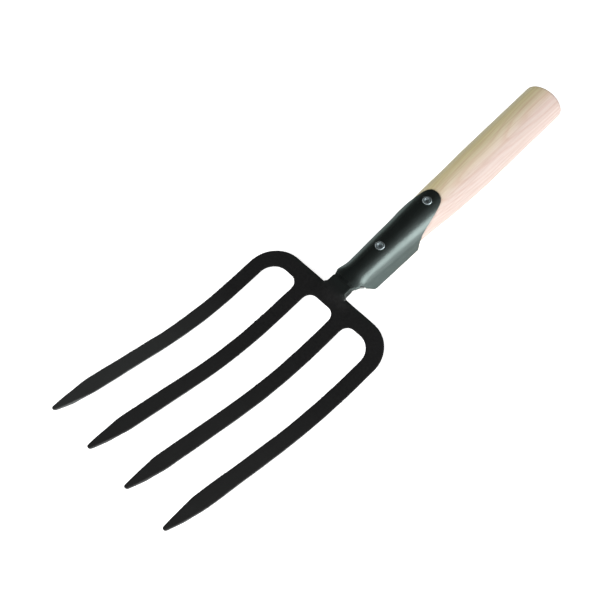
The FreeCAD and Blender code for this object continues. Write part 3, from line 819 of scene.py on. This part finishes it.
def make_rivet(name):
    """A rivet with a dished head in front and a domed tail on its washer."""
    seat = washer_seat(name) - WASHER_THICKNESS
    floor = RIVET_TOP - RIVET_DISH_DEPTH
    turns = [math.pi / 2 * step / 12 for step in range(13)]
    dome = [(RIVET_HEAD * math.sin(turn), seat - RIVET_TAIL_RIM - RIVET_TAIL_RISE * math.cos(turn))
            for turn in turns]
    profile = [(RIVET_HEAD - 0.15, RIVET_SEAT)]
    profile += rolled_lip(RIVET_DISH, RIVET_HEAD, RIVET_SEAT + 0.35, RIVET_TOP)
    profile += [(RIVET_DISH - 0.05, floor + 0.45), (RIVET_DISH - 0.3, floor + 0.12),
                (RIVET_DISH - 0.8, floor + 0.02), (0.0, floor)]
    profile += dome
    profile += [(RIVET_HEAD - 0.15, seat), (RIVET_SHANK, seat), (RIVET_SHANK, RIVET_SEAT)]
    piece = lathe(f"{name}_dished_rivet", profile, RIVET_HEIGHTS[name], segments=72)
    shade(piece, 50)
    finish_piece(piece, f"{name}_rivet", RIVET_ZINC)


def make_washer(name):
    """A flat ring with soft edges behind."""
    seat = washer_seat(name)
    back = seat - WASHER_THICKNESS
    hole = RIVET_SHANK + FIT_GAP
    soft = 0.25
    profile = [(hole, seat), (hole, back + soft), (hole + soft, back), (WASHER_RADIUS - soft, back),
               (WASHER_RADIUS, back + soft), (WASHER_RADIUS, seat)]
    piece = lathe(f"{name}_burr_washer", profile, RIVET_HEIGHTS[name], segments=72)
    shade(piece, 30)
    finish_piece(piece, f"{name}_rivet_washer", WASHER_ZINC)


# ---------------------------------------------------------------- stage, light and camera
# metres in the row frame, and watts
FLOOR_HALF = 4
FLOOR_LEVEL = -0.0002
SIDE_SOFTBOX = ((0.59, 0.28, 0.20), (0, 0.03, 0.08), 0.48, 0.40, 2.2)
FRONT_FILL = ((0.20, -1.05, 1.10), (0, 0.05, 0.03), 0.7, 0.7, 19.5)

# the room's light from left to right, and the dark screen overhead: its direction, how squarely
# a ray has to face it to begin and to be fully dimmed, and what share of the light then stays
ROOM_LEFT = (0.30, (0.16, 0.16, 0.15, 1))
ROOM_RIGHT = (0.85, (0.42, 0.415, 0.415, 1))
SCREEN_DIRECTION = (-0.397, 0.145, 0.906)
SCREEN_SPAN = (0.35, 0.90)
SCREEN_SHARE = 0.08

# the camera in the drawing frame: millimetres, and yaw, pitch and roll in degrees
CAMERA_PLACE = (288.11, -217.72, 775.51)
CAMERA_TURN = (-21.417, -12.851, -46.648)
CAMERA_SENSOR = 36
CAMERA_LENS = 57.74


def make_floor():
    """A plain pale sheet just under the fork, bright enough to show white."""
    half = FLOOR_HALF
    mesh = bpy.data.meshes.new("floor")
    mesh.from_pydata([(-half, -half, 0), (half, -half, 0), (half, half, 0), (-half, half, 0)],
                     [], [(0, 1, 2, 3)])
    floor = bpy.data.objects.new("floor", mesh)
    bpy.context.scene.collection.objects.link(floor)
    floor.location.z = FLOOR_LEVEL
    shader = Shader("pale_floor")
    shader.drive(Base_Color=(0.82, 0.82, 0.82, 1), Roughness=0.9, Specular_IOR_Level=0.1,
                 Emission_Color=(1, 1, 1, 1), Emission_Strength=0.88)
    floor.data.materials.append(shader.material)


def add_softbox(name, place, target, width, height, watts):
    """An area lamp in the row frame, in metres, turned to its target."""
    lamp = bpy.data.lights.new(name, "AREA")
    lamp.shape = "RECTANGLE"
    lamp.size = width
    lamp.size_y = height
    lamp.energy = watts
    piece = bpy.data.objects.new(name, lamp)
    piece.visible_camera = False
    bpy.context.scene.collection.objects.link(piece)
    turn = (Vector(target) - Vector(place)).to_track_quat("-Z", "Y")
    piece.matrix_world = Matrix.Translation(place) @ turn.to_matrix().to_4x4()
    return piece


def make_light():
    """A dim room with a dark screen overhead, a close softbox on the right and a fill in front."""
    world = bpy.data.worlds.new("studio")
    world.use_nodes = True
    tree = world.node_tree
    background = tree.nodes["Background"]
    direction = tree.nodes.new("ShaderNodeTexCoord").outputs["Generated"]
    separate = tree.nodes.new("ShaderNodeSeparateXYZ")
    tree.links.new(direction, separate.inputs[0])
    ramp = tree.nodes.new("ShaderNodeValToRGB")
    share = tree.nodes.new("ShaderNodeMapRange")
    share.inputs["From Min"].default_value = -1
    tree.links.new(separate.outputs["X"], share.inputs["Value"])
    tree.links.new(share.outputs["Result"], ramp.inputs["Fac"])
    for element, (position, colour) in zip(ramp.color_ramp.elements, (ROOM_LEFT, ROOM_RIGHT)):
        element.position = position
        element.color = colour
    tree.links.new(ramp.outputs["Color"], background.inputs["Color"])
    facing = tree.nodes.new("ShaderNodeVectorMath")
    facing.operation = "DOT_PRODUCT"
    tree.links.new(direction, facing.inputs[0])
    facing.inputs[1].default_value = SCREEN_DIRECTION
    screen = tree.nodes.new("ShaderNodeMapRange")
    screen.interpolation_type = "SMOOTHSTEP"
    screen.inputs["From Min"].default_value, screen.inputs["From Max"].default_value = SCREEN_SPAN
    screen.inputs["To Min"].default_value = 1.0
    screen.inputs["To Max"].default_value = SCREEN_SHARE
    tree.links.new(facing.outputs["Value"], screen.inputs["Value"])
    tree.links.new(screen.outputs["Result"], background.inputs["Strength"])
    bpy.context.scene.world = world
    add_softbox("side_softbox", *SIDE_SOFTBOX)
    fill = add_softbox("front_fill", *FRONT_FILL)
    fill.visible_glossy = False


def make_camera():
    """The camera, turned about the fork's axes: yaw and pitch first, then rolled about its view."""
    place = Vector(CAMERA_PLACE) * MM
    yaw, pitch, roll = (math.radians(angle) for angle in CAMERA_TURN)
    look = Matrix.Rotation(pitch, 3, "X") @ Matrix.Rotation(yaw, 3, "Y")
    right, up, back = look
    turned_right = right * math.cos(roll) - up * math.sin(roll)
    turned_up = right * math.sin(roll) + up * math.cos(roll)
    turn = Matrix((turned_right, turned_up, back)).transposed().to_4x4()
    data = bpy.data.cameras.new("camera")
    data.sensor_width = CAMERA_SENSOR
    data.lens = CAMERA_LENS
    data.clip_start = 0.05
    camera = bpy.data.objects.new("camera", data)
    bpy.context.scene.collection.objects.link(camera)
    camera.matrix_world = TO_ROW @ Matrix.Translation(place) @ turn
    bpy.context.scene.camera = camera


make_camera()
make_light()
make_floor()
make_fork_head()
make_socket()
make_weld()
make_handle()
for rivet_name in RIVET_HEIGHTS:
    make_rivet(rivet_name)
    make_washer(rivet_name)

bpy.context.scene.view_settings.view_transform = "Standard"
bpy.context.view_layer.update()
